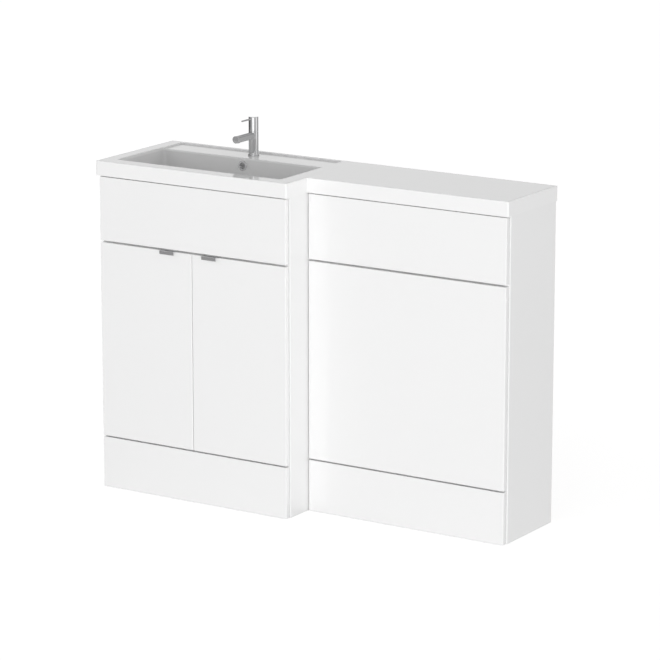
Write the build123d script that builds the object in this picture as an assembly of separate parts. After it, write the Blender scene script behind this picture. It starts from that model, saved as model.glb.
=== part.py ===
from build123d import *
import math
import os

# A vanity unit and a shallower WC unit under one L-shaped basin top, in millimetres.
# X runs along the wall, the fronts face -Y, the wall is at +Y and the floor is at Z = 0.
# The origin is the middle of the whole part's base.

# Cabinet sizes
unit_height = 864.0
vanity_width = 600.0
wc_width = 600.0
vanity_depth = 353.0
wc_depth = 252.0
board = 18.0
front_board = 15.0
carcass_gap = 2.0
side_reveal = 2.5
skirt_gap = 2.4
fascia_gap = 5.0
plinth_gap = 3.4
door_gap = 2.0
plinth_height = 141.0
door_height = 537.6
front_edge_radius = 2.0
side_edge_radius = 2.0
rail_depth = 80.0
back_rail_height = 100.0
wall_hole_radius = 3.0
wall_hole_inset = 100.0

# Shelf
shelf_height = 400.0
shelf_front_setback = 60.0
shelf_back_setback = 12.0
shelf_side_clearance = 1.0
pin_radius = 2.5
pin_reach = 9.0
pin_depth = 10.0
pin_collar_radius = 4.0
pin_collar_play = 0.2
pin_inset = 40.0

# Edge pulls on the doors
pull_width = 45.0
pull_sheet = 1.6
pull_reach = 9.0
pull_lip = 9.5
pull_leg = 24.0
left_pull_offset = 75.0
right_pull_offset = 60.0
pull_screw_spacing = 32.0
pull_screw_drop = 14.0

# Small countersunk screws
screw_radius = 1.5
screw_head_radius = 3.0
screw_length = 13.0

# Concealed hinges: x is from the door's outer edge, y is from the door's back face
hinge_inset = 92.0
cup_radius = 17.5
cup_wall = 1.0
cup_depth = 12.0
cup_edge = 3.0
cup_floor = 1.0
cup_play = 0.1
cup_flange = 1.2
cup_flange_width = 18.0
cup_flange_height = 60.0
cup_screw_spacing = 48.0
door_pin_x = 10.0
door_pin_y = -7.0
link_bend_x = 20.0
link_bend_y = -9.0
arm_pin_x = 40.0
arm_pin_y = 8.0
link_thickness = 3.0
link_height = 10.0
link_eye_radius = 3.4
hinge_pin_radius = 1.8
hinge_pin_play = 0.08
arm_sheet = 1.5
arm_side_play = 0.4
arm_width = 12.0
arm_length = 62.0
arm_web_setback = 9.0
plate_thickness = 3.0
plate_setback = 30.0
plate_length = 36.0
plate_height = 48.0
tower_setback = 4.0
tower_length = 26.0
tower_play = 0.1
plate_screw_spacing = 32.0
buffer_radius = 3.5
buffer_play = 0.3
buffer_offset = 15.0

# Steel angles that hold the fixed fronts
angle_leg = 28.0
angle_width = 18.0
angle_sheet = 2.0
angle_hole_offset = 17.0
angle_setback = 30.0

# Bolts that join the two units
bolt_radius = 4.0
bolt_head_radius = 7.0
bolt_head = 2.0
bolt_front_setback = 45.0
bolt_back_setback = 60.0
bolt_low = 250.0
bolt_top_setback = 64.0

# Basin top
top_skirt = 40.0
top_slab = 12.0
skirt_wall = 14.0
back_wall = 10.0
left_overhang = 7.5
right_overhang = 3.0
front_overhang = 2.3
return_overhang = 1.4
top_corner_radius = 4.0
top_edge_radius = 2.0
bowl_left_rim = 39.5
bowl_right_rim = 43.0
bowl_front_rim = 40.3
bowl_back_rim = 97.0
bowl_depth = 102.0
bowl_draft = 6.0
bowl_wall = 9.0
bowl_corner_radius = 8.0
bowl_low_corner_radius = 22.0
bowl_floor_radius = 16.0
floor_fall = 7.0
ledge_drop = 4.0
ledge_edge_radius = 3.0
tap_hole_radius = 12.0
tap_back_setback = 47.0
waste_hole_radius = 23.0
waste_boss_radius = 42.0
overflow_drop = 24.5
overflow_hole_radius = 9.5
overflow_duct_width = 30.0
overflow_duct_depth = 9.0
overflow_duct_wall = 6.0

# Overflow trim ring
ring_radius = 13.5
ring_bore_radius = 8.5
ring_flange = 3.0
ring_sleeve = 8.0
ring_play = 0.2
grille_setback = 1.5
grille_bars = 4
grille_bar = 1.8
grille_pitch = 3.7
trim_edge_radius = 0.4

# Waste
waste_flange_radius = 32.0
waste_flange = 3.0
waste_tail_radius = 20.95
waste_bore_radius = 17.5
waste_tail_length = 70.0
waste_slot_width = 10.0
waste_seal = 3.0
waste_seal_radius = 31.0
waste_thread_play = 0.05
waste_nut_radius = 29.0
waste_nut_height = 11.0
plug_radius = 28.0
plug_thickness = 4.5
plug_crown = 2.0
plug_rest_gap = 0.3
plug_travel = 8.0
plug_stem_radius = 5.0
plug_stem_length = 44.0
spider_height = 8.0
spider_width = 5.0
spider_radius = 8.0
spider_drop = 22.0
stem_play = 0.3

# Tap
tap_radius = 13.4
tap_height = 66.0
tap_wall = 1.9
head_gap = 0.4
head_height = 39.6
head_edge_radius = 1.2
head_roof = 17.0
base_ring_radius = 15.2
base_ring_height = 4.2
base_ring_edge = 1.5
gasket_thickness = 0.8
gasket_radius = 14.8
spout_height = 55.0
spout_reach = 87.0
spout_root_radius = 10.4
spout_end_radius = 10.0
spout_bore_radius = 5.5
aerator_radius = 6.0
aerator_height = 4.0
aerator_setback = 9.5
lever_radius = 2.4
lever_tip = 55.5
lever_drop = 5.3
lever_grip = 8.0
cartridge_height = 17.0
cartridge_play = 0.2
cartridge_nut_height = 6.0
cartridge_nut_play = 0.1
turret_radius = 6.8
turret_play = 0.3
turret_floor = 1.1
turret_top = 3.5
tilt_axis_setback = 4.0
tilt_relief = 20.6
spindle_radius = 2.4
spindle_play = 0.3
spindle_foot = 4.0
spindle_grip = 4.0
spindle_pin_radius = 1.2
spindle_pin_play = 0.06
spindle_pin_half = 4.6
tap_inlet_radius = 4.5
tap_inlet_depth = 14.0
tap_inlet_offset = 5.7
tap_inlet_forward = 2.5
stud_back = 8.3
stud_radius = 3.0
stud_length = 52.0
stud_grip = 10.0
clamp_washer_radius = 23.0
clamp_washer = 3.0
clamp_washer_front = 17.8
clamp_opening = 22.0
clamp_opening_end = 3.0
tap_nut_radius = 6.5
tap_nut_height = 6.0

# Places worked out from the sizes
top_width = left_overhang + vanity_width + wc_width + right_overhang
top_left = -top_width / 2
vanity_left = top_left + left_overhang
joint_x = vanity_left + vanity_width
wc_right = joint_x + wc_width
vanity_middle = vanity_left + vanity_width / 2
wall_y = (vanity_depth + pull_reach) / 2
vanity_front = wall_y - vanity_depth
wc_front = wall_y - wc_depth
door_bottom = plinth_height + plinth_gap
door_top = door_bottom + door_height
fascia_bottom = door_top + fascia_gap
fascia_top = unit_height - skirt_gap
lower_line = plinth_height + plinth_gap / 2
upper_line = door_top + fascia_gap / 2
top_z = unit_height + top_skirt
ledge_z = top_z - ledge_drop
bowl_left = top_left + bowl_left_rim
bowl_right = joint_x - bowl_right_rim
bowl_front = vanity_front - front_overhang + bowl_front_rim
bowl_back = wall_y - bowl_back_rim
bowl_width = bowl_right - bowl_left
bowl_length = bowl_back - bowl_front
bowl_middle = (bowl_left + bowl_right) / 2
bowl_centre_y = (bowl_front + bowl_back) / 2
floor_z = top_z - bowl_depth
drain_z = floor_z - floor_fall
boss_z = drain_z - bowl_wall - overflow_duct_depth - overflow_duct_wall
tap_y = wall_y - tap_back_setback
overflow_z = top_z - overflow_drop
draft_slope = math.tan(math.radians(bowl_draft))
hinge_heights = [door_bottom + hinge_inset, door_top - hinge_inset]


def block(low, high):
    """A box between two corners."""
    size = [high[i] - low[i] for i in range(3)]
    middle = [(high[i] + low[i]) / 2 for i in range(3)]
    return Pos(*middle) * Box(*size)


def corners(xa, xb, ya, yb, za, zb):
    """Lowest and highest corners from two values on each axis, in any order."""
    low = (min(xa, xb), min(ya, yb), min(za, zb))
    high = (max(xa, xb), max(ya, yb), max(za, zb))
    return low, high


def rod(start, direction, radius, length):
    """A cylinder that starts at a point and runs along a direction."""
    plane = Plane(origin=start, z_dir=direction)
    return plane * Cylinder(radius, length, align=(Align.CENTER, Align.CENTER, Align.MIN))


def taper_rod(start, direction, start_radius, end_radius, length):
    """A cone that starts at a point and runs along a direction."""
    plane = Plane(origin=start, z_dir=direction)
    return plane * Cone(start_radius, end_radius, length, align=(Align.CENTER, Align.CENTER, Align.MIN))


def group(solids):
    """Separate solids kept in one node."""
    return Compound([solid for piece in solids for solid in piece.solids()])


def upper_circle(solid):
    """The highest round edge of a solid."""
    return solid.edges().filter_by(GeomType.CIRCLE).sort_by(Axis.Z)[-1]


def front_circle(solid):
    """The foremost round edge of a solid."""
    return solid.edges().filter_by(GeomType.CIRCLE).sort_by(Axis.Y)[0]


def screw(point, direction):
    """A countersunk screw whose head is flush with the plane at the point."""
    head = taper_rod(point, direction, screw_head_radius, screw_radius, screw_head_radius - screw_radius)
    return head + rod(point, direction, screw_radius, screw_length)


def drill(piece, tools):
    """Cuts each tool out of a piece."""
    for tool in tools:
        piece = piece - tool
    return piece


def front_board_panel(x0, x1, front, z0, z1):
    """A front panel with its face edges eased."""
    panel = block((x0, front, z0), (x1, front + front_board, z1))
    return fillet(panel.edges(), front_edge_radius)


def side_board(x0, front):
    """A full-height side from its front edge to the wall."""
    panel = block((x0, front, 0), (x0 + board, wall_y, unit_height))
    front_edges = panel.faces().sort_by(Axis.Y)[0].edges().filter_by(Axis.Z)
    return fillet(front_edges, side_edge_radius)


# Places of the fronts and of the carcass behind them
vanity_back_face = vanity_front + front_board
vanity_carcass = vanity_back_face + carcass_gap
wc_back_face = wc_front + front_board
wc_carcass = wc_back_face + carcass_gap
vanity_inner_left = vanity_left + board
vanity_inner_right = joint_x - board
wc_inner_left = joint_x + board
wc_inner_right = wc_right - board
wall_hole_z = unit_height - back_rail_height / 2


# Fixing angles and their screws
def angle_places():
    """Where the steel angles sit: the side's inner face, its direction, the front's back face and z."""
    low = plinth_height / 2
    high = fascia_bottom + angle_setback
    middle = [door_bottom + door_height / 4, door_top - door_height / 4]
    places = []
    for z in (low, high):
        places.append((vanity_inner_left, 1, vanity_back_face, z))
        places.append((vanity_inner_right, -1, vanity_back_face, z))
    for z in (low, *middle, high):
        places.append((wc_inner_left, 1, wc_back_face, z))
        places.append((wc_inner_right, -1, wc_back_face, z))
    return places


def angle_screw_pair(x, side, y, z):
    """One screw into the side board and one into the front board."""
    into_side = screw((x + side * angle_sheet, y + angle_hole_offset, z), (-side, 0, 0))
    into_front = screw((x + side * angle_hole_offset, y + angle_sheet, z), (0, -1, 0))
    return [into_side, into_front]


def angle_screws():
    """Every screw of the steel angles."""
    screws = []
    for place in angle_places():
        screws.extend(angle_screw_pair(*place))
    return screws


def fixing_angles():
    """Steel angles that tie the fixed fronts to the sides."""
    pieces = []
    for x, side, y, z in angle_places():
        low, high = z - angle_width / 2, z + angle_width / 2
        side_leg = block(*corners(x, x + side * angle_sheet, y, y + angle_leg, low, high))
        front_leg = block(*corners(x, x + side * angle_leg, y, y + angle_sheet, low, high))
        pieces.append(drill(side_leg + front_leg, angle_screw_pair(x, side, y, z)))
    return group(pieces)


# Bolts that join the two units
def bolt_places():
    """Heights and depths of the joining bolts."""
    depths = (wc_carcass + bolt_front_setback, wall_y - bolt_back_setback)
    heights = (bolt_low, unit_height - bolt_top_setback)
    return [(y, z) for y in depths for z in heights]


def bolt_bores():
    """The holes that the joining bolts fill."""
    start = vanity_inner_right
    return [rod((start, y, z), (1, 0, 0), bolt_radius, 2 * board) for y, z in bolt_places()]


def joining_bolts():
    """Sleeve bolts through the two sides that stand against each other."""
    bolts = []
    for y, z in bolt_places():
        shank = rod((vanity_inner_right, y, z), (1, 0, 0), bolt_radius, 2 * board)
        near_head = rod((vanity_inner_right - bolt_head, y, z), (1, 0, 0), bolt_head_radius, bolt_head)
        far_head = rod((wc_inner_left, y, z), (1, 0, 0), bolt_head_radius, bolt_head)
        bolts.append(shank + near_head + far_head)
    return group(bolts)


# Shelf and its pins
def shelf_pin_places():
    """Side face, direction and depth of each shelf pin."""
    depths = (vanity_carcass + shelf_front_setback + pin_inset, wall_y - shelf_back_setback - pin_inset)
    sides = ((vanity_inner_left, 1), (vanity_inner_right, -1))
    return [(x, side, y) for x, side in sides for y in depths]


def shelf_pin_solids():
    """A collared pin in each hole."""
    pins = []
    z = shelf_height - pin_radius
    for x, side, y in shelf_pin_places():
        shank = rod((x - side * pin_depth, y, z), (side, 0, 0), pin_radius, pin_depth + pin_reach)
        collar = rod((x, y, z), (side, 0, 0), pin_collar_radius, shelf_side_clearance - pin_collar_play)
        pins.append(shank + collar)
    return pins


def shelf():
    """A loose shelf that lies on its pins."""
    low = (vanity_inner_left + shelf_side_clearance, vanity_carcass + shelf_front_setback, shelf_height)
    high = (vanity_inner_right - shelf_side_clearance, wall_y - shelf_back_setback, shelf_height + board)
    panel = block(low, high)
    return fillet(panel.faces().sort_by(Axis.Y)[0].edges().filter_by(Axis.X), front_edge_radius)


# Concealed hinges, drawn for the left door and mirrored for the right one
middle_plane = Plane(origin=(vanity_middle, 0, 0), z_dir=(1, 0, 0))
door_outer = vanity_left + side_reveal


def hinge_point(x, y, z):
    """A hinge point in the part's own frame."""
    return (door_outer + x, vanity_back_face + y, z)


def cup_screw_points():
    """Where the screws of the cups start, on the flange."""
    points = []
    for z in hinge_heights:
        for sign in (-1, 1):
            points.append(hinge_point(cup_edge + cup_radius, cup_flange, z + sign * cup_screw_spacing / 2))
    return points


def cup_screw_solids():
    """Screws of the left door's cups."""
    return [screw(point, (0, -1, 0)) for point in cup_screw_points()]


def hinge_cup(z):
    """A drawn cup with its flange and the pin that carries the link."""
    x = cup_edge + cup_radius
    outer = rod(hinge_point(x, 0, z), (0, -1, 0), cup_radius - cup_play, cup_depth)
    low = hinge_point(x - cup_flange_width / 2, 0, z - cup_flange_height / 2)
    high = hinge_point(x + cup_flange_width / 2, cup_flange, z + cup_flange_height / 2)
    rim = rod(hinge_point(x, 0, z), (0, 1, 0), cup_radius + cup_wall, cup_flange)
    hollow_depth = cup_depth - cup_floor + cup_flange
    hollow = rod(hinge_point(x, cup_flange, z), (0, -1, 0), cup_radius - cup_play - cup_wall, hollow_depth)
    far_side = x - door_pin_x + hinge_pin_radius
    half = math.sqrt((cup_radius - cup_play) ** 2 - far_side ** 2) - cup_play
    pin = rod(hinge_point(door_pin_x, door_pin_y, z - half), (0, 0, 1), hinge_pin_radius, 2 * half)
    cup = outer + rim + block(low, high) - hollow + pin
    return drill(cup, cup_screw_solids())


def hinge_link(z):
    """The bent link between the arm's pin and the cup's pin."""
    base = Plane(origin=hinge_point(0, 0, z - link_height / 2), x_dir=(1, 0, 0), z_dir=(0, 0, 1))
    door_end = (door_pin_x, door_pin_y)
    bend = (link_bend_x, link_bend_y)
    arm_end = (arm_pin_x, arm_pin_y)
    outline = Pos(*door_end) * Circle(link_eye_radius) + Pos(*arm_end) * Circle(link_eye_radius)
    outline = outline + Pos(*bend) * Circle(link_thickness / 2)
    for start, end in ((door_end, bend), (bend, arm_end)):
        length = math.dist(start, end)
        turn = math.degrees(math.atan2(end[1] - start[1], end[0] - start[0]))
        middle = ((start[0] + end[0]) / 2, (start[1] + end[1]) / 2)
        outline = outline + Pos(*middle) * Rot(0, 0, turn) * Rectangle(length, link_thickness)
    for end in (door_end, arm_end):
        outline = outline - Pos(*end) * Circle(hinge_pin_radius + hinge_pin_play)
    return extrude(base * outline, link_height)


def hinge_arm(z):
    """The channel-shaped arm on the side, with the pin at its front end."""
    inner = link_height / 2 + arm_side_play
    outer = inner + arm_sheet
    low_x, high_x = arm_pin_x - arm_width / 2, arm_pin_x + arm_width / 2
    back = arm_pin_y + arm_length
    web_low = hinge_point(high_x - arm_sheet, arm_pin_y + arm_web_setback, z - outer)
    arm = block(web_low, hinge_point(high_x, back, z + outer))
    for start, end in ((-outer, -inner), (inner, outer)):
        arm = arm + block(hinge_point(low_x, arm_pin_y, z + start), hinge_point(high_x, back, z + end))
        arm = arm + rod(hinge_point(arm_pin_x, arm_pin_y, z + start), (0, 0, 1), arm_width / 2, arm_sheet)
    return arm + rod(hinge_point(arm_pin_x, arm_pin_y, z - outer), (0, 0, 1), hinge_pin_radius, 2 * outer)


def plate_screw_solids():
    """Screws of the left side's hinge plates."""
    screws = []
    x = vanity_inner_left + plate_thickness
    y = vanity_carcass + plate_setback + plate_length / 2
    for z in hinge_heights:
        for sign in (-1, 1):
            screws.append(screw((x, y, z + sign * plate_screw_spacing / 2), (-1, 0, 0)))
    return screws


def hinge_plate(z):
    """The plate on the side's inner face, with the tower that the arm sits on."""
    front = vanity_carcass + plate_setback
    x = vanity_inner_left + plate_thickness
    plate_low = (vanity_inner_left, front, z - plate_height / 2)
    plate = block(plate_low, (x, front + plate_length, z + plate_height / 2))
    web_x = door_outer + arm_pin_x + arm_width / 2 - arm_sheet
    half = link_height / 2 + arm_side_play - tower_play
    tower_front = front + tower_setback
    tower = block((x, tower_front, z - half), (web_x - tower_play, tower_front + tower_length, z + half))
    return drill(plate + tower, plate_screw_solids())


def left_and_right(solids):
    """The left side's solids and their mirror images."""
    solids = list(solids)
    return solids + [mirror(solid, about=middle_plane) for solid in solids]


# Edge pulls
def pull_middle(side):
    """The middle of a door's pull: -1 is the left door."""
    return vanity_middle - left_pull_offset if side < 0 else vanity_middle + right_pull_offset


def pull_screw_solids(side):
    """The two screws of a pull, from behind the door."""
    middle = pull_middle(side)
    y, z = vanity_back_face + pull_sheet, door_top - pull_screw_drop
    places = (middle - pull_screw_spacing / 2, middle + pull_screw_spacing / 2)
    return [screw((x, y, z), (0, -1, 0)) for x in places]


def edge_pull(side):
    """A folded metal pull over the door's top edge: a leg behind, a flat top and a lip in front."""
    middle = pull_middle(side)
    left, right = middle - pull_width / 2, middle + pull_width / 2
    lip_front = vanity_front - pull_reach
    leg_back = vanity_back_face + pull_sheet
    flat = block((left, lip_front, door_top), (right, leg_back, door_top + pull_sheet))
    lip_low = (left, lip_front, door_top + pull_sheet - pull_lip)
    lip = block(lip_low, (right, lip_front + pull_sheet, door_top))
    leg = block((left, vanity_back_face, door_top - pull_leg), (right, leg_back, door_top))
    pull = flat + lip + leg
    bend = pull.edges().filter_by(Axis.X).group_by(Axis.Z)[-1].sort_by(Axis.Y)[0]
    pull = fillet(bend, pull_sheet * 0.9)
    return drill(pull, pull_screw_solids(side))


# Doors
def door(side):
    """A door with its cup bores and screw holes."""
    left = door_outer
    right = vanity_middle - door_gap / 2
    panel = front_board_panel(left, right, vanity_front, door_bottom, door_top)
    cup_x = cup_edge + cup_radius
    bores = [rod(hinge_point(cup_x, 0, z), (0, -1, 0), cup_radius, cup_depth) for z in hinge_heights]
    panel = drill(panel, bores + cup_screw_solids())
    if side > 0:
        panel = mirror(panel, about=middle_plane)
    return drill(panel, pull_screw_solids(side))


# Boards of the two cabinets
def vanity_side(x0):
    """A side of the vanity with the holes of everything fixed to it."""
    tools = angle_screws() + shelf_pin_solids() + left_and_right(plate_screw_solids()) + bolt_bores()
    return drill(side_board(x0, vanity_carcass), tools)


def wc_side(x0):
    """A side of the WC unit with its holes."""
    return drill(side_board(x0, wc_carcass), angle_screws() + bolt_bores())


def cross_board(x0, x1, y0, y1, middle_z):
    """A flat board between two sides, around a given height."""
    return block((x0, y0, middle_z - board / 2), (x1, y1, middle_z + board / 2))


def back_rail(x0, x1, z0):
    """An upright board across the back."""
    return block((x0, wall_y - board, z0), (x1, wall_y, z0 + back_rail_height))


def wall_holes(x0, x1):
    """The screw holes of an upper back rail."""
    start_y = wall_y - board
    return [rod((x, start_y, wall_hole_z), (0, 1, 0), wall_hole_radius, board)
            for x in (x0 + wall_hole_inset, x1 - wall_hole_inset)]


def upper_back_rail(x0, x1):
    """The back rail that is screwed to the wall."""
    return drill(back_rail(x0, x1, unit_height - back_rail_height), wall_holes(x0, x1))


def lower_back_rail(x0, x1):
    """The back rail above the base board."""
    return back_rail(x0, x1, lower_line + board / 2)


def door_buffers():
    """Soft discs that the closed doors nearly touch."""
    depth = carcass_gap - buffer_play
    discs = []
    for x in (vanity_middle - buffer_offset, vanity_middle + buffer_offset):
        for z in (door_bottom + buffer_radius, door_top - buffer_radius):
            discs.append(rod((x, vanity_carcass - depth, z), (0, 1, 0), buffer_radius, depth))
    return group(discs)


def fixed_front(x0, x1, front, z0, z1):
    """A fixed front with the holes of its angle screws."""
    return drill(front_board_panel(x0 + side_reveal, x1 - side_reveal, front, z0, z1), angle_screws())


# Basin top
def plan_outline(inset, back_inset):
    """The L shape seen from above, drawn in by an inset on the shown sides."""
    left, right = top_left + inset, -top_left - inset
    step = joint_x + return_overhang - inset
    front = vanity_front - front_overhang + inset
    step_front = wc_front - front_overhang + inset
    back = wall_y - back_inset
    points = [(left, front), (step, front), (step, step_front), (right, step_front), (right, back)]
    points.append((left, back))
    return make_face(Polyline(*points, close=True))


def shown(edges):
    """The edges that aren't against the wall."""
    return [edge for edge in edges if edge.center().Y < wall_y - back_wall / 2]


def slab_and_skirt():
    """The outer shape of the top, hollow below."""
    outer = extrude(Pos(0, 0, unit_height) * plan_outline(0, 0), top_skirt)
    outer = fillet(shown(outer.edges().filter_by(Axis.Z)), top_corner_radius)
    outer = fillet(shown(outer.faces().sort_by(Axis.Z)[-1].edges()), top_edge_radius)
    hollow = extrude(Pos(0, 0, unit_height) * plan_outline(skirt_wall, back_wall), top_skirt - top_slab)
    return outer - hollow


def bowl_form(margin, depth):
    """The drafted bowl below the ledge's level, grown by a margin, with a round bottom edge."""
    width, length = bowl_width + 2 * margin, bowl_length + 2 * margin
    loss = 2 * depth * draft_slope
    mouth = RectangleRounded(width, length, bowl_corner_radius + margin)
    bottom = RectangleRounded(width - loss, length - loss, bowl_low_corner_radius + margin)
    low_place = Pos(bowl_middle, bowl_centre_y, ledge_z - depth)
    form = loft([low_place * bottom, Pos(bowl_middle, bowl_centre_y, ledge_z) * mouth])
    return fillet(form.faces().sort_by(Axis.Z)[0].edges(), bowl_floor_radius)


def bowl_cavity():
    """The space in the bowl, from the ledge's level down to the drain."""
    depth = ledge_z - floor_z
    loss = 2 * (depth * draft_slope + bowl_floor_radius)
    wide = Pos(bowl_middle, bowl_centre_y, floor_z) * Rectangle(bowl_width - loss, bowl_length - loss)
    drain_side = 2 * waste_flange_radius + waste_flange
    narrow = Pos(bowl_middle, bowl_centre_y, drain_z) * Rectangle(drain_side, drain_side)
    return bowl_form(0, depth) + loft([narrow, wide])


def recess():
    """The shallow step that holds the tap ledge and the bowl's mouth."""
    high = (bowl_right, wall_y - back_wall, top_z + ledge_drop)
    space = block((bowl_left, bowl_front, ledge_z), high)
    return fillet(space.edges().filter_by(Axis.Z), bowl_corner_radius)


def bowl_shell():
    """The bowl's outside below the slab, with the waste's boss and the ledge's underside."""
    shell = bowl_form(bowl_wall, ledge_z - drain_z + bowl_wall)
    ledge_low = (bowl_left - bowl_wall, bowl_centre_y, ledge_z - top_slab)
    ledge_high = (bowl_right + bowl_wall, wall_y - back_wall / 2, ledge_z)
    boss = rod((bowl_middle, bowl_centre_y, boss_z), (0, 0, 1), waste_boss_radius, drain_z - boss_z)
    return shell + block(ledge_low, ledge_high) + boss


duct_front = bowl_back + bowl_wall - ring_flange
duct_back = duct_front + overflow_duct_depth
duct_low = boss_z + overflow_duct_wall
duct_top = overflow_z + overflow_hole_radius + ring_flange


def duct_space():
    """The overflow's way down behind the bowl and under it to the waste."""
    left, right = bowl_middle - overflow_duct_width / 2, bowl_middle + overflow_duct_width / 2
    down = block((left, duct_front, duct_low), (right, duct_back, duct_top))
    under = block((left, bowl_centre_y, duct_low), (right, duct_back, duct_low + overflow_duct_depth))
    return down + under


def duct_housing():
    """The ceramic around the overflow's way down."""
    half = overflow_duct_width / 2 + overflow_duct_wall
    left, right, back = bowl_middle - half, bowl_middle + half, duct_back + overflow_duct_wall
    down = block((left, bowl_back - bowl_wall, boss_z), (right, back, ledge_z - top_slab / 2))
    under = block((left, bowl_centre_y, boss_z), (right, back, drain_z - bowl_wall / 2))
    return down + under


def overflow_wall_y():
    """Where the bowl's back wall is at the overflow's height."""
    return bowl_back - (ledge_z - overflow_z) * draft_slope


def basin_top():
    """The one-piece top with its bowl, tap ledge, overflow duct and holes."""
    solid = slab_and_skirt() + bowl_shell() + duct_housing()
    solid = solid - recess() - bowl_cavity()
    ledge_edge = solid.edges().filter_by(Axis.X).sort_by_distance((bowl_middle, bowl_back, ledge_z))[0]
    solid = fillet(ledge_edge, ledge_edge_radius)
    overflow_start = (bowl_middle, overflow_wall_y() - ring_flange, overflow_z)
    tools = [
        duct_space(),
        rod(tap_point(0, 0, -2 * top_slab), (0, 0, 1), tap_hole_radius, 3 * top_slab),
        rod(drain_point(boss_z - drain_z), (0, 0, 1), waste_hole_radius, drain_z - boss_z + waste_flange),
        rod(overflow_start, (0, 1, 0), overflow_hole_radius, bowl_wall + 2 * ring_flange),
    ]
    return drill(solid, tools)


def overflow_bars():
    """The level bars across the overflow ring's bore."""
    front = overflow_wall_y() + grille_setback
    low_z = overflow_z - ((grille_bars - 1) * grille_pitch + grille_bar) / 2
    reach = rod((bowl_middle, front, overflow_z), (0, 1, 0), ring_bore_radius + ring_play, grille_bar)
    bars = []
    for i in range(grille_bars):
        z = low_z + i * grille_pitch
        low = (bowl_middle - ring_radius, front, z)
        high = (bowl_middle + ring_radius, front + grille_bar, z + grille_bar)
        bars.append(block(low, high) & reach)
    return bars


def overflow_ring():
    """The metal ring in the overflow hole, square to the sloping wall, with its bars."""
    tilt = math.radians(bowl_draft)
    centre = (bowl_middle, overflow_wall_y(), overflow_z)
    flange = rod(centre, (0, -math.cos(tilt), math.sin(tilt)), ring_radius, ring_flange)
    flange = fillet(front_circle(flange), ring_flange / 2)
    sleeve_start = (bowl_middle, overflow_wall_y() - ring_flange / 2, overflow_z)
    sleeve = rod(sleeve_start, (0, 1, 0), overflow_hole_radius - ring_play, ring_sleeve)
    hollow_start = (bowl_middle, overflow_wall_y() - 2 * ring_sleeve, overflow_z)
    ring = flange + sleeve - rod(hollow_start, (0, 1, 0), ring_bore_radius, 4 * ring_sleeve)
    for bar in overflow_bars():
        ring = ring + bar
    return ring


# Waste
def drain_point(z):
    """A point on the waste's axis, at a height above the drain."""
    return (bowl_middle, bowl_centre_y, drain_z + z)


def waste_slots():
    """Two crossing slots that let the overflow's water into the tail."""
    reach = waste_tail_radius + waste_flange
    half = waste_slot_width / 2
    slots = []
    for along_x, along_y in ((reach, half), (half, reach)):
        low = (bowl_middle - along_x, bowl_centre_y - along_y, duct_low)
        high = (bowl_middle + along_x, bowl_centre_y + along_y, duct_low + overflow_duct_depth)
        slots.append(block(low, high))
    return slots


def waste_body():
    """The flanged tail with its overflow slots and the bar that guides the plug."""
    flange = rod(drain_point(0), (0, 0, 1), waste_flange_radius, waste_flange)
    flange = fillet(upper_circle(flange), waste_flange / 2)
    tail = rod(drain_point(-waste_tail_length), (0, 0, 1), waste_tail_radius, waste_tail_length)
    hollow_length = waste_flange + waste_tail_length
    hollow = rod(drain_point(-waste_tail_length), (0, 0, 1), waste_bore_radius, hollow_length)
    body = drill(flange + tail - hollow, waste_slots())
    bar_z = -spider_drop - spider_height
    half_length = (waste_bore_radius + waste_tail_radius) / 2
    low = (bowl_middle - half_length, bowl_centre_y - spider_width / 2, drain_z + bar_z)
    high = (bowl_middle + half_length, bowl_centre_y + spider_width / 2, drain_z - spider_drop)
    hub = rod(drain_point(bar_z), (0, 0, 1), spider_radius, spider_height)
    guide = rod(drain_point(bar_z), (0, 0, 1), plug_stem_radius + stem_play, spider_height)
    return body + hub + block(low, high) - guide


def waste_ring(outer, top, height):
    """A ring round the waste's tail, below the boss."""
    bottom = (bowl_middle, bowl_centre_y, top - height)
    hole = rod(bottom, (0, 0, 1), waste_tail_radius + waste_thread_play, height)
    return Pos(*bottom) * extrude(outer, height) - hole


def waste_seal_ring():
    """The soft seal under the boss."""
    return waste_ring(Circle(waste_seal_radius), boss_z, waste_seal)


def waste_nut():
    """The six-sided nut that draws the waste down."""
    return waste_ring(RegularPolygon(waste_nut_radius, 6), boss_z - waste_seal, waste_nut_height)


def waste_plug():
    """The round plug and its stem, in the raised position."""
    bottom = waste_flange + plug_rest_gap + plug_travel
    disc = rod(drain_point(bottom), (0, 0, 1), plug_radius, plug_thickness)
    disc = fillet(upper_circle(disc), plug_crown)
    stem = rod(drain_point(bottom - plug_stem_length), (0, 0, 1), plug_stem_radius, plug_stem_length)
    return disc + stem


# Tap: x and y are from its axis and z is from the ledge
tilt_z = tap_height + head_gap
pocket_floor = tap_height - cartridge_nut_height - cartridge_height
head_top = tilt_z + head_height
head_ceiling = head_top - head_roof
tap_pocket_radius = tap_radius - tap_wall
up = (0, 0, 1)
forward = (0, -1, 0)


def tap_point(x, y, z):
    """A point of the tap in the part's own frame."""
    return (bowl_middle + x, tap_y + y, ledge_z + z)


def tap_gasket():
    """The soft ring between the tap and the ledge."""
    ring = rod(tap_point(0, 0, 0), up, gasket_radius, gasket_thickness)
    return ring - rod(tap_point(0, 0, 0), up, tap_hole_radius, gasket_thickness)


def tap_base_ring():
    """The trim ring round the foot of the tap."""
    ring = rod(tap_point(0, 0, gasket_thickness), up, base_ring_radius, base_ring_height)
    ring = fillet(upper_circle(ring), base_ring_edge)
    return ring - rod(tap_point(0, 0, gasket_thickness), up, tap_radius, base_ring_height)


def inlet_holes():
    """The threaded holes for the two flexible supply tails."""
    return [rod(tap_point(x, -tap_inlet_forward, gasket_thickness), up, tap_inlet_radius, tap_inlet_depth)
            for x in (-tap_inlet_offset, tap_inlet_offset)]


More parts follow.
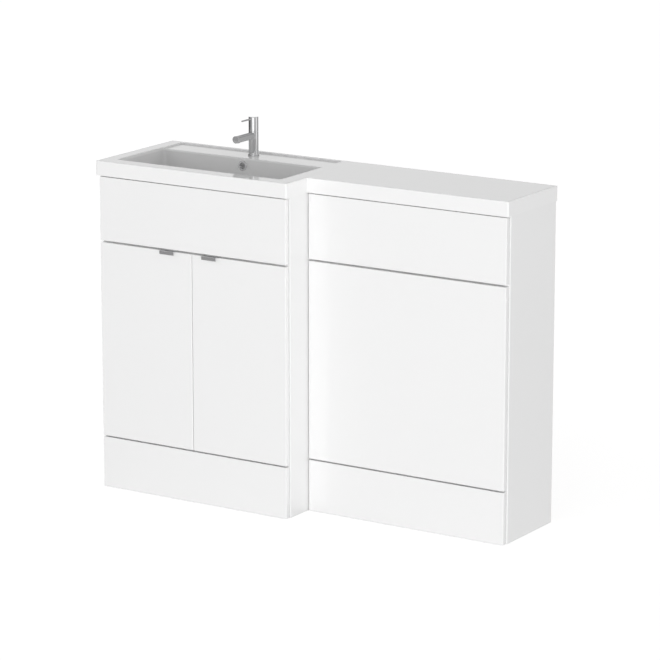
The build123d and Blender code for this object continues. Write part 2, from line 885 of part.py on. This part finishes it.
def tap_body():
    """The upright body with its straight tapered spout, cartridge pocket and inlets."""
    column = rod(tap_point(0, 0, gasket_thickness), up, tap_radius, tap_height - gasket_thickness)
    root = tap_point(0, 0, spout_height)
    spout = taper_rod(root, forward, spout_root_radius, spout_end_radius, spout_reach)
    spout = fillet(front_circle(spout), trim_edge_radius)
    outlet = tap_point(0, aerator_setback - spout_reach, spout_height - spout_root_radius)
    bore_length = spout_reach - aerator_setback + spout_bore_radius / 2
    tools = [
        rod(tap_point(0, 0, pocket_floor), up, tap_pocket_radius, tap_height - pocket_floor),
        rod(root, forward, spout_bore_radius, bore_length),
        rod(outlet, up, aerator_radius, spout_root_radius),
        rod(tap_point(0, stud_back, gasket_thickness), up, stud_radius, stud_grip),
    ]
    return drill(column + spout, tools + inlet_holes())


def tap_aerator():
    """The outlet insert under the spout's end."""
    bottom = spout_height - spout_end_radius
    insert = rod(tap_point(0, aerator_setback - spout_reach, bottom), up, aerator_radius, aerator_height)
    mouth_radius = aerator_radius - spindle_pin_radius
    mouth = rod(tap_point(0, aerator_setback - spout_reach, bottom), up, mouth_radius, aerator_height / 2)
    return insert - mouth


def tap_cartridge():
    """The sealed mixing cartridge in the body's pocket."""
    return rod(tap_point(0, 0, pocket_floor), up, tap_pocket_radius - cartridge_play, cartridge_height)


def tap_cartridge_nut():
    """The ring nut that holds the cartridge down."""
    bottom = tap_point(0, 0, pocket_floor + cartridge_height)
    nut = rod(bottom, up, tap_pocket_radius - cartridge_nut_play, cartridge_nut_height)
    return nut - rod(bottom, up, turret_radius + turret_play, cartridge_nut_height)


def tap_turret():
    """The turning piece of the cartridge: a slotted round with a cross pin."""
    low = pocket_floor + cartridge_height + turret_play
    height = tilt_z + turret_top - low
    body = rod(tap_point(0, 0, low), up, turret_radius, height)
    half = spindle_radius + spindle_play
    slot_low = tap_point(-half, -turret_radius, low + turret_floor)
    slot_high = tap_point(half, turret_radius, low + height)
    pin_start = tap_point(-spindle_pin_half, tilt_axis_setback, tilt_z)
    pin = rod(pin_start, (1, 0, 0), spindle_pin_radius, 2 * spindle_pin_half)
    return body - block(slot_low, slot_high) + pin


def tap_spindle():
    """The rod that carries the head and tilts on the cross pin."""
    bottom = tilt_z - spindle_foot
    length = head_ceiling + spindle_grip - bottom
    spindle = rod(tap_point(0, tilt_axis_setback, bottom), up, spindle_radius, length)
    bore_radius = spindle_pin_radius + spindle_pin_play
    bore_start = tap_point(-2 * spindle_radius, tilt_axis_setback, tilt_z)
    return spindle - rod(bore_start, (1, 0, 0), bore_radius, 4 * spindle_radius)


def head_relief():
    """The wedge taken off the head's back underside so that it can tilt."""
    back = tap_radius + spindle_play
    rise = (back - tilt_axis_setback) * math.tan(math.radians(tilt_relief))
    points = [(tilt_axis_setback, -head_gap), (tilt_axis_setback, 0), (back, rise), (back, -head_gap)]
    plane = Plane(origin=tap_point(-back, 0, tilt_z), x_dir=(0, 1, 0), z_dir=(1, 0, 0))
    return extrude(plane * make_face(Polyline(*points, close=True)), 2 * back)


lever_start = tap_point(0, lever_grip - tap_radius, head_top - lever_drop)


def tap_head():
    """The round head on top of the tap, hollow below."""
    head = fillet(upper_circle(rod(tap_point(0, 0, tilt_z), up, tap_radius, head_height)), head_edge_radius)
    tools = [
        rod(tap_point(0, 0, tilt_z), up, tap_pocket_radius, head_ceiling - tilt_z),
        rod(tap_point(0, tilt_axis_setback, head_ceiling), up, spindle_radius, spindle_grip),
        rod(lever_start, forward, lever_radius, tap_radius),
        head_relief(),
    ]
    return drill(head, tools)


def tap_lever():
    """The thin round lever in the head's front."""
    lever = rod(lever_start, forward, lever_radius, lever_tip - tap_radius + lever_grip)
    return fillet(front_circle(lever), trim_edge_radius)


def tap_stud():
    """The threaded stud that clamps the tap."""
    top = gasket_thickness + stud_grip
    return rod(tap_point(0, stud_back, top - stud_length), up, stud_radius, stud_length)


def tap_clamp_washer():
    """The horseshoe washer under the ledge."""
    bottom = -top_slab - clamp_washer
    disc = rod(tap_point(0, 0, bottom), up, clamp_washer_radius, clamp_washer)
    half = clamp_opening / 2
    opening_low = tap_point(-half, -clamp_washer_radius, bottom)
    opening = block(opening_low, tap_point(half, clamp_opening_end, -top_slab))
    reach = clamp_washer_radius
    front = block(tap_point(-reach, -reach, bottom), tap_point(reach, -clamp_washer_front, -top_slab))
    stud_hole = rod(tap_point(0, stud_back, bottom), up, stud_radius, clamp_washer)
    return drill(disc, [opening, front, stud_hole])


def tap_nut():
    """The nut on the tap's stud."""
    bottom = -top_slab - clamp_washer - tap_nut_height
    nut = Pos(*tap_point(0, stud_back, bottom)) * extrude(RegularPolygon(tap_nut_radius, 6), tap_nut_height)
    return nut - rod(tap_point(0, stud_back, bottom), up, stud_radius, tap_nut_height)


# Everything by name
def both_hinges(make):
    """The same hinge piece at both heights of the left door."""
    return [make(z) for z in hinge_heights]


def mirrored(solids):
    """The right door's copy of the left door's solids."""
    return group([mirror(solid, about=middle_plane) for solid in solids])


vanity_span = (vanity_inner_left, vanity_inner_right)
wc_span = (wc_inner_left, wc_inner_right)
wc_rail = (wc_carcass, wc_carcass + rail_depth)
nodes = {
    "vanity_side_left": vanity_side(vanity_left),
    "vanity_side_right": vanity_side(vanity_inner_right),
    "vanity_base_panel": cross_board(*vanity_span, vanity_carcass, wall_y, lower_line),
    "vanity_front_rail": cross_board(*vanity_span, vanity_carcass, vanity_carcass + rail_depth, upper_line),
    "vanity_back_rail_upper": upper_back_rail(*vanity_span),
    "vanity_back_rail_lower": lower_back_rail(*vanity_span),
    "shelf": shelf(),
    "shelf_pins": group(shelf_pin_solids()),
    "vanity_fascia": fixed_front(vanity_left, joint_x, vanity_front, fascia_bottom, fascia_top),
    "vanity_plinth": fixed_front(vanity_left, joint_x, vanity_front, 0, plinth_height),
    "left_door": door(-1),
    "right_door": door(1),
    "left_pull": edge_pull(-1),
    "right_pull": edge_pull(1),
    "left_pull_screws": group(pull_screw_solids(-1)),
    "right_pull_screws": group(pull_screw_solids(1)),
    "left_hinge_cups": group(both_hinges(hinge_cup)),
    "right_hinge_cups": mirrored(both_hinges(hinge_cup)),
    "left_cup_screws": group(cup_screw_solids()),
    "right_cup_screws": mirrored(cup_screw_solids()),
    "left_hinge_links": group(both_hinges(hinge_link)),
    "right_hinge_links": mirrored(both_hinges(hinge_link)),
    "hinge_arms": group(left_and_right(both_hinges(hinge_arm))),
    "hinge_plates": group(left_and_right(both_hinges(hinge_plate))),
    "hinge_plate_screws": group(left_and_right(plate_screw_solids())),
    "door_buffers": door_buffers(),
    "wc_side_left": wc_side(joint_x),
    "wc_side_right": wc_side(wc_inner_right),
    "wc_front_rail": cross_board(*wc_span, *wc_rail, upper_line),
    "wc_base_rail": cross_board(*wc_span, *wc_rail, lower_line),
    "wc_top_rail": cross_board(*wc_span, *wc_rail, unit_height - board / 2),
    "wc_back_rail_upper": upper_back_rail(*wc_span),
    "wc_back_rail_lower": lower_back_rail(*wc_span),
    "wc_fascia": fixed_front(joint_x, wc_right, wc_front, fascia_bottom, fascia_top),
    "wc_front_panel": fixed_front(joint_x, wc_right, wc_front, door_bottom, door_top),
    "wc_plinth": fixed_front(joint_x, wc_right, wc_front, 0, plinth_height),
    "joining_bolts": joining_bolts(),
    "fixing_angles": fixing_angles(),
    "angle_screws": group(angle_screws()),
    "basin_top": basin_top(),
    "overflow_ring": overflow_ring(),
    "waste_body": waste_body(),
    "waste_seal": waste_seal_ring(),
    "waste_nut": waste_nut(),
    "waste_plug": waste_plug(),
    "tap_gasket": tap_gasket(),
    "tap_base_ring": tap_base_ring(),
    "tap_body": tap_body(),
    "tap_aerator": tap_aerator(),
    "tap_cartridge": tap_cartridge(),
    "tap_cartridge_nut": tap_cartridge_nut(),
    "tap_turret": tap_turret(),
    "tap_spindle": tap_spindle(),
    "tap_head": tap_head(),
    "tap_lever": tap_lever(),
    "tap_stud": tap_stud(),
    "tap_clamp_washer": tap_clamp_washer(),
    "tap_nut": tap_nut(),
}

os.makedirs("parts", exist_ok=True)
for name, piece in nodes.items():
    export_step(piece, f"parts/{name}.step")
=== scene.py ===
"""Looks of the vanity unit: gloss white boards, a gloss white basin top and bright chrome fittings."""
import math

import bpy
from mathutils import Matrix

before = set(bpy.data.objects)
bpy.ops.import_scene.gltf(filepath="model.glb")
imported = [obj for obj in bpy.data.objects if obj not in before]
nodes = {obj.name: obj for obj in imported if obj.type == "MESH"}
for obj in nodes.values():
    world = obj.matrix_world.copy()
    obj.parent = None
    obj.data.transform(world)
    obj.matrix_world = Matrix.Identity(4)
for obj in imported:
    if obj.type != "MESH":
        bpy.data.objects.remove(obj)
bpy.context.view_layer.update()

# Camera, fitted to the photograph
CAMERA_PLACE = (4.722, -7.373, 2.584)
CAMERA_YAW = 32.49
CAMERA_PITCH = 13.51
CAMERA_LENS = 185.2
CAMERA_SENSOR = 36.0
CAMERA_REACH = 100.0

# Light
AMBIENT = 1.09
KEY_POWER = 1580.0
KEY_AZIMUTH = 35.0
KEY_DISTANCE = 16.0
KEY_HEIGHT = 0.45
KEY_SIZE = (15.0, 0.9)
FLOOR_COLOUR = 0.5
FLOOR_GLOW = 0.75
FLOOR_SIZE = 60.0
FLOOR_DROP = 0.0005
FLOOR_ROUGHNESS = 0.9
# What polished surfaces see of the studio, by azimuth in degrees from the front towards +X
STUDIO_RING = (
    (-180, 0.42), (-166, 0.42), (-160, 1.10), (-138, 1.10), (-128, 0.60), (-105, 0.12), (-62, 0.12),
    (-45, 0.10), (-43, 0.30), (-25, 0.42), (-21, 0.12), (-16, 0.50), (0, 0.55), (14, 0.60),
    (17, 2.20), (30, 2.20), (33, 0.60), (43, 0.70), (62, 0.70), (68, 0.42), (86, 0.42),
    (91, 1.05), (114, 1.05), (119, 0.42), (150, 0.42), (180, 0.42),
)
# What they see overhead, by the height component of the direction, and where it takes over from the ring
STUDIO_CROWN = ((0.34, 0.55), (0.42, 0.25), (0.47, 0.25), (0.54, 0.45), (1.0, 0.45))
CROWN_START = (0.32, 0.36)
# The brightest level that the ring and the crown can hold
RING_TOP = 2.3

# Colours, as grey levels or as red, green, blue and alpha
LACQUER = 0.89
BASIN = 0.90
# Painted shade: a darker grey for the inside of the bowl, standing in for the shade of its hollow
BOWL_PAINTED_SHADE = 0.77
WANDER = 0.006
ROUGHNESS_WANDER = 0.06
MELAMINE = (0.70, 0.76)
MELAMINE_GRAIN = 900.0
UNDERSIDE = (0.62, 0.62, 0.60, 1.0)
CHIP_DARK = (0.30, 0.19, 0.10, 1.0)
CHIP_LIGHT = (0.68, 0.50, 0.32, 1.0)
CHROME = (0.83, 0.83, 0.84, 1.0)
PULL_METAL = (0.80, 0.80, 0.81, 1.0)
ZINC = (0.62, 0.63, 0.65, 1.0)
BRASS = (0.76, 0.58, 0.30, 1.0)
BLACK_RUBBER = (0.03, 0.03, 0.03, 1.0)
CLEAR_RUBBER = (0.55, 0.56, 0.56, 1.0)
WHITE_PLASTIC = (0.72, 0.71, 0.68, 1.0)

# Relief of the surfaces, in metres
PEEL_RELIEF = 0.00001
FINE_RELIEF = 0.00002
GRAIN_RELIEF = 0.00003

# Places in the CAD model, in metres; the box is where the bowl's inside is painted darker as painted shade
PAINTED_SHADE_BOX = ((-0.575, -0.143, 0.78), (-0.032, 0.093, 0.899))
PAINTED_SHADE_SOFT = 0.005


# Node building
class Nodes:
    """A node tree and short ways to add and join its nodes."""

    def __init__(self, tree):
        self.tree = tree
        self.place = self.add("ShaderNodeTexCoord")

    def add(self, kind, **settings):
        """A node with its settings."""
        made = self.tree.nodes.new(kind)
        for key, value in settings.items():
            setattr(made, key, value)
        return made

    def join(self, source, target):
        """A link from an output socket, or a plain number, to an input socket."""
        if isinstance(source, float):
            target.default_value = source
        else:
            self.tree.links.new(source, target)

    def math(self, operation, first, second=0.0):
        """One sum of two values."""
        made = self.add("ShaderNodeMath", operation=operation)
        self.join(first, made.inputs[0])
        self.join(second, made.inputs[1])
        return made.outputs[0]

    def mixed(self, mask, first, second):
        """A number between two, by a mask."""
        made = self.add("ShaderNodeMix", data_type="FLOAT")
        self.join(mask, made.inputs["Factor"])
        self.join(first, made.inputs[2])
        self.join(second, made.inputs[3])
        return made.outputs[0]

    def levels(self, value, stops):
        """A brightness by a value from 0 to 1."""
        ramp = self.add("ShaderNodeValToRGB")
        self.join(value, ramp.inputs["Fac"])
        elements = ramp.color_ramp.elements
        while len(elements) < len(stops):
            elements.new(0.5)
        for element, (position, level) in zip(elements, stops):
            element.position = position
            grey = level / RING_TOP
            element.color = (grey, grey, grey, 1.0)
        return self.math("MULTIPLY", ramp.outputs["Color"], RING_TOP)

    def ring(self, vector):
        """The studio's brightness in the direction of a vector, by its azimuth and overhead by its height."""
        parts = self.add("ShaderNodeSeparateXYZ")
        self.join(vector, parts.inputs[0])
        azimuth = self.math("ARCTAN2", parts.outputs["X"], self.math("MULTIPLY", parts.outputs["Y"], -1.0))
        turn = self.math("ADD", self.math("DIVIDE", azimuth, 2 * math.pi), 0.5)
        around = self.levels(turn, [(degrees / 360 + 0.5, level) for degrees, level in STUDIO_RING])
        crown = self.levels(parts.outputs["Z"], STUDIO_CROWN)
        overhead = self.add("ShaderNodeMapRange")
        overhead.inputs["From Min"].default_value = CROWN_START[0]
        overhead.inputs["From Max"].default_value = CROWN_START[1]
        self.join(parts.outputs["Z"], overhead.inputs["Value"])
        return self.mixed(overhead.outputs["Result"], around, crown)

    def seen(self, level, for_gloss, for_light):
        """A level for camera rays, another for mirrored ones and one for the light."""
        rays = self.add("ShaderNodeLightPath")
        clear = self.math("MAXIMUM", rays.outputs["Is Camera Ray"], rays.outputs["Is Transmission Ray"])
        value = self.mixed(rays.outputs["Is Glossy Ray"], for_light, for_gloss)
        return self.mixed(clear, value, level)


class Build(Nodes):
    """A material around one Principled shader."""

    def __init__(self, name):
        self.material = bpy.data.materials.new(name)
        self.material.use_nodes = True
        super().__init__(self.material.node_tree)
        self.shader = self.tree.nodes["Principled BSDF"]
        self.output = self.tree.nodes["Material Output"]

    def set(self, **values):
        """Values on the shader's own sockets."""
        for key, value in values.items():
            self.shader.inputs[key.replace("_", " ")].default_value = value
        return self

    def noise(self, scale, detail=2.0, roughness=0.5):
        """Noise that sticks to the piece."""
        made = self.add("ShaderNodeTexNoise")
        made.inputs["Scale"].default_value = scale
        made.inputs["Detail"].default_value = detail
        made.inputs["Roughness"].default_value = roughness
        self.join(self.place.outputs["Object"], made.inputs["Vector"])
        return made.outputs["Fac"]

    def ranged(self, value, low, high, start=0.0, end=1.0):
        """A value moved from start..end to low..high."""
        made = self.add("ShaderNodeMapRange")
        made.inputs["From Min"].default_value = start
        made.inputs["From Max"].default_value = end
        made.inputs["To Min"].default_value = low
        made.inputs["To Max"].default_value = high
        self.join(value, made.inputs["Value"])
        return made.outputs["Result"]

    def blend(self, mask, first, second):
        """A colour between two, by a mask."""
        made = self.add("ShaderNodeMix", data_type="RGBA")
        self.join(mask, made.inputs["Factor"])
        for colour, socket in ((first, made.inputs[6]), (second, made.inputs[7])):
            if isinstance(colour, tuple):
                socket.default_value = colour
            else:
                self.join(colour, socket)
        return made.outputs[2]

    def facing(self, direction, limit=0.5):
        """1 where the surface faces a direction of the piece's own frame."""
        dot = self.add("ShaderNodeVectorMath", operation="DOT_PRODUCT")
        self.join(self.place.outputs["Normal"], dot.inputs[0])
        dot.inputs[1].default_value = direction
        return self.math("GREATER_THAN", dot.outputs["Value"], limit)

    def within(self, low, high, soft):
        """1 inside a box of the piece's own frame, and 0 outside it, with soft sides."""
        away = self.add("ShaderNodeVectorMath", operation="SUBTRACT")
        self.join(self.place.outputs["Object"], away.inputs[0])
        away.inputs[1].default_value = [(a + b) / 2 for a, b in zip(low, high)]
        apart = self.add("ShaderNodeVectorMath", operation="ABSOLUTE")
        self.join(away.outputs[0], apart.inputs[0])
        over = self.add("ShaderNodeVectorMath", operation="SUBTRACT")
        self.join(apart.outputs[0], over.inputs[0])
        over.inputs[1].default_value = [(b - a) / 2 for a, b in zip(low, high)]
        parts = self.add("ShaderNodeSeparateXYZ")
        self.join(over.outputs[0], parts.inputs[0])
        most = self.math("MAXIMUM", parts.outputs["X"], parts.outputs["Y"])
        most = self.math("MAXIMUM", most, parts.outputs["Z"])
        return self.ranged(most, 1.0, 0.0, -soft, 0.0)

    def bump(self, height, distance, strength=1.0):
        """Relief from a height."""
        made = self.add("ShaderNodeBump")
        made.inputs["Distance"].default_value = distance
        made.inputs["Strength"].default_value = strength
        self.join(height, made.inputs["Height"])
        self.join(made.outputs["Normal"], self.shader.inputs["Normal"])

    def colour(self, value):
        self.join(value, self.shader.inputs["Base Color"])

    def rough(self, value):
        self.join(value, self.shader.inputs["Roughness"])


def speckled(build, scale, low, high):
    """A grey that wanders a little, as grey levels low to high."""
    wander = build.noise(scale, 3.0)
    return build.blend(wander, (low, low, low, 1.0), (high, high, high, 1.0))


def darker(colour, share):
    """A colour brought down to a share of its brightness."""
    return tuple(c * share for c in colour[:3]) + (1.0,)


def board_material(name, inner, raw):
    """Lacquered board: gloss outside, satin melamine on the inner side, chips on the raw edges."""
    build = Build(name)
    gloss = speckled(build, 2.5, LACQUER - WANDER, LACQUER + WANDER)
    satin = speckled(build, MELAMINE_GRAIN, *MELAMINE)
    chips_noise = build.noise(420.0, 4.0, 0.7)
    chips = build.blend(chips_noise, CHIP_DARK, CHIP_LIGHT)
    inner_mask = build.facing(inner)
    colour = build.blend(inner_mask, gloss, satin)
    rough = build.mixed(inner_mask, build.ranged(build.noise(6.0), 0.03, 0.06), 0.42)
    for direction in raw:
        raw_mask = build.facing(direction)
        colour = build.blend(raw_mask, colour, chips)
        rough = build.mixed(raw_mask, rough, 0.8)
    build.colour(colour)
    build.rough(rough)
    peel = build.noise(160.0, 2.0)
    build.bump(peel, PEEL_RELIEF)
    return build.material


def melamine_material():
    """Satin white melamine of the carcass."""
    build = Build("melamine")
    build.colour(speckled(build, MELAMINE_GRAIN, *MELAMINE))
    build.rough(build.ranged(build.noise(400.0), 0.38, 0.48))
    build.bump(build.noise(1400.0, 3.0), GRAIN_RELIEF)
    return build.material


def basin_material():
    """Gloss white cast top with a faint ripple and painted shade inside the bowl, matt underneath."""
    build = Build("basin_gloss")
    under = build.facing(DOWN)
    # Painted shade: inside the bowl's box the top takes a darker grey that stands in for the shade of the
    # hollow
    inside = build.within(*PAINTED_SHADE_BOX, PAINTED_SHADE_SOFT)
    top = speckled(build, 3.0, BASIN - WANDER, BASIN + WANDER)
    painted_bowl_shade = speckled(build, 3.0, BOWL_PAINTED_SHADE - WANDER, BOWL_PAINTED_SHADE + WANDER)
    build.colour(build.blend(under, build.blend(inside, top, painted_bowl_shade), UNDERSIDE))
    build.rough(build.mixed(under, build.ranged(build.noise(8.0), 0.01, 0.03), 0.6))
    build.bump(build.noise(30.0, 2.0), FINE_RELIEF)
    return build.material


def metal_material(name, colour, low, high, scale=60.0, relief=0.0):
    """Metal with small changes in its polish."""
    build = Build(name)
    build.set(Metallic=1.0)
    build.colour(build.blend(build.noise(scale, 3.0), darker(colour, 0.94), colour))
    build.rough(build.ranged(build.noise(scale * 2.0, 3.0), low, high))
    if relief:
        build.bump(build.noise(scale * 12.0, 3.0), relief)
    return build.material


def plain_material(name, colour, roughness):
    """Rubber or plastic with a fine grain."""
    build = Build(name)
    build.colour(build.blend(build.noise(300.0, 3.0), darker(colour, 0.85), colour))
    build.rough(build.ranged(build.noise(500.0), roughness - ROUGHNESS_WANDER, roughness + ROUGHNESS_WANDER))
    build.bump(build.noise(1500.0, 2.0), GRAIN_RELIEF)
    return build.material


def paint(names, material):
    """Gives the CAD nodes their material."""
    for name in names:
        piece = nodes[name]
        piece.data.materials.clear()
        piece.data.materials.append(material)


BACK = (0.0, 1.0, 0.0)
UP = (0.0, 0.0, 1.0)
DOWN = (0.0, 0.0, -1.0)
fronts = board_material("gloss_front", BACK, ())
left_side = board_material("gloss_side_left", (1.0, 0.0, 0.0), (BACK, UP, DOWN))
right_side = board_material("gloss_side_right", (-1.0, 0.0, 0.0), (BACK, UP, DOWN))
paint(("vanity_fascia", "left_door", "right_door", "vanity_plinth",
       "wc_fascia", "wc_front_panel", "wc_plinth"), fronts)
paint(("vanity_side_left", "wc_side_left"), left_side)
paint(("vanity_side_right", "wc_side_right"), right_side)
melamine = melamine_material()
paint([n for n in nodes if "rail" in n or n in ("vanity_base_panel", "shelf")], melamine)
paint(("basin_top",), basin_material())
chrome = metal_material("bright_chrome", CHROME, 0.03, 0.07)
paint(("tap_body", "tap_head", "tap_lever", "tap_base_ring", "tap_aerator",
       "overflow_ring", "waste_body", "waste_plug"), chrome)
paint(("left_pull", "right_pull"), metal_material("pull_metal", PULL_METAL, 0.14, 0.20))
zinc = metal_material("zinc_steel", ZINC, 0.25, 0.40, 90.0, FINE_RELIEF)
paint([n for n in nodes if "screws" in n or "hinge" in n or n in (
    "fixing_angles", "joining_bolts", "shelf_pins", "tap_clamp_washer", "tap_stud", "tap_spindle")], zinc)
brass = metal_material("raw_brass", BRASS, 0.22, 0.36, 120.0, FINE_RELIEF)
paint(("tap_turret", "tap_nut", "tap_cartridge_nut", "waste_nut"), brass)
paint(("tap_gasket", "waste_seal"), plain_material("black_rubber", BLACK_RUBBER, 0.6))
paint(("door_buffers",), plain_material("clear_buffer", CLEAR_RUBBER, 0.35))
paint(("tap_cartridge",), plain_material("white_plastic", WHITE_PLASTIC, 0.4))


# Studio
def studio_floor():
    """A white floor that keeps a soft shadow."""
    half = FLOOR_SIZE / 2
    mesh = bpy.data.meshes.new("floor")
    corners = ((-half, -half), (half, -half), (half, half), (-half, half))
    mesh.from_pydata([(x, y, -FLOOR_DROP) for x, y in corners], [], [(0, 1, 2, 3)])
    floor = bpy.data.objects.new("floor", mesh)
    bpy.context.scene.collection.objects.link(floor)
    build = Build("floor_white")
    build.set(Base_Color=(FLOOR_COLOUR, FLOOR_COLOUR, FLOOR_COLOUR, 1.0), Roughness=FLOOR_ROUGHNESS)
    build.set(Specular_IOR_Level=0.0)
    lit = build.add("ShaderNodeEmission")
    build.join(build.seen(FLOOR_GLOW, 0.0, 0.0), lit.inputs["Strength"])
    both = build.add("ShaderNodeAddShader")
    build.join(build.shader.outputs[0], both.inputs[0])
    build.join(lit.outputs[0], both.inputs[1])
    build.join(both.outputs[0], build.output.inputs["Surface"])
    mesh.materials.append(build.material)
    floor.visible_glossy = False


def studio_world():
    """White for the camera, the ring and the crown for reflections, and soft light that fades overhead."""
    world = bpy.data.worlds.new("studio")
    bpy.context.scene.world = world
    world.use_nodes = True
    around = Nodes(world.node_tree)
    background = world.node_tree.nodes["Background"]
    background.inputs["Color"].default_value = (1.0, 1.0, 1.0, 1.0)
    ring = around.ring(around.place.outputs["Generated"])
    parts = around.add("ShaderNodeSeparateXYZ")
    around.join(around.place.outputs["Generated"], parts.inputs[0])
    height = around.math("POWER", parts.outputs["Z"], 2.0)
    soft = around.math("MULTIPLY", around.math("SUBTRACT", 1.0, height), AMBIENT)
    around.join(around.seen(1.0, ring, soft), background.inputs["Strength"])


def key_light():
    """A long low softbox before the unit, a little to the right."""
    turn = math.radians(KEY_AZIMUTH)
    data = bpy.data.lights.new("key", "AREA")
    data.shape = "RECTANGLE"
    data.size, data.size_y = KEY_SIZE
    data.energy = KEY_POWER
    lamp = bpy.data.objects.new("key", data)
    bpy.context.scene.collection.objects.link(lamp)
    lamp.location = (KEY_DISTANCE * math.sin(turn), -KEY_DISTANCE * math.cos(turn), KEY_HEIGHT)
    lamp.rotation_euler = (math.radians(90.0), 0.0, turn)
    lamp.visible_glossy = False


def add_camera():
    """The camera at the photograph's viewing angle."""
    data = bpy.data.cameras.new("camera")
    data.lens = CAMERA_LENS
    data.sensor_width = CAMERA_SENSOR
    data.clip_end = CAMERA_REACH
    camera = bpy.data.objects.new("camera", data)
    bpy.context.scene.collection.objects.link(camera)
    camera.location = CAMERA_PLACE
    camera.rotation_euler = (math.radians(90.0 - CAMERA_PITCH), 0.0, math.radians(CAMERA_YAW))
    bpy.context.scene.camera = camera


studio_floor()
studio_world()
key_light()
add_camera()
bpy.context.scene.view_settings.view_transform = "Standard"
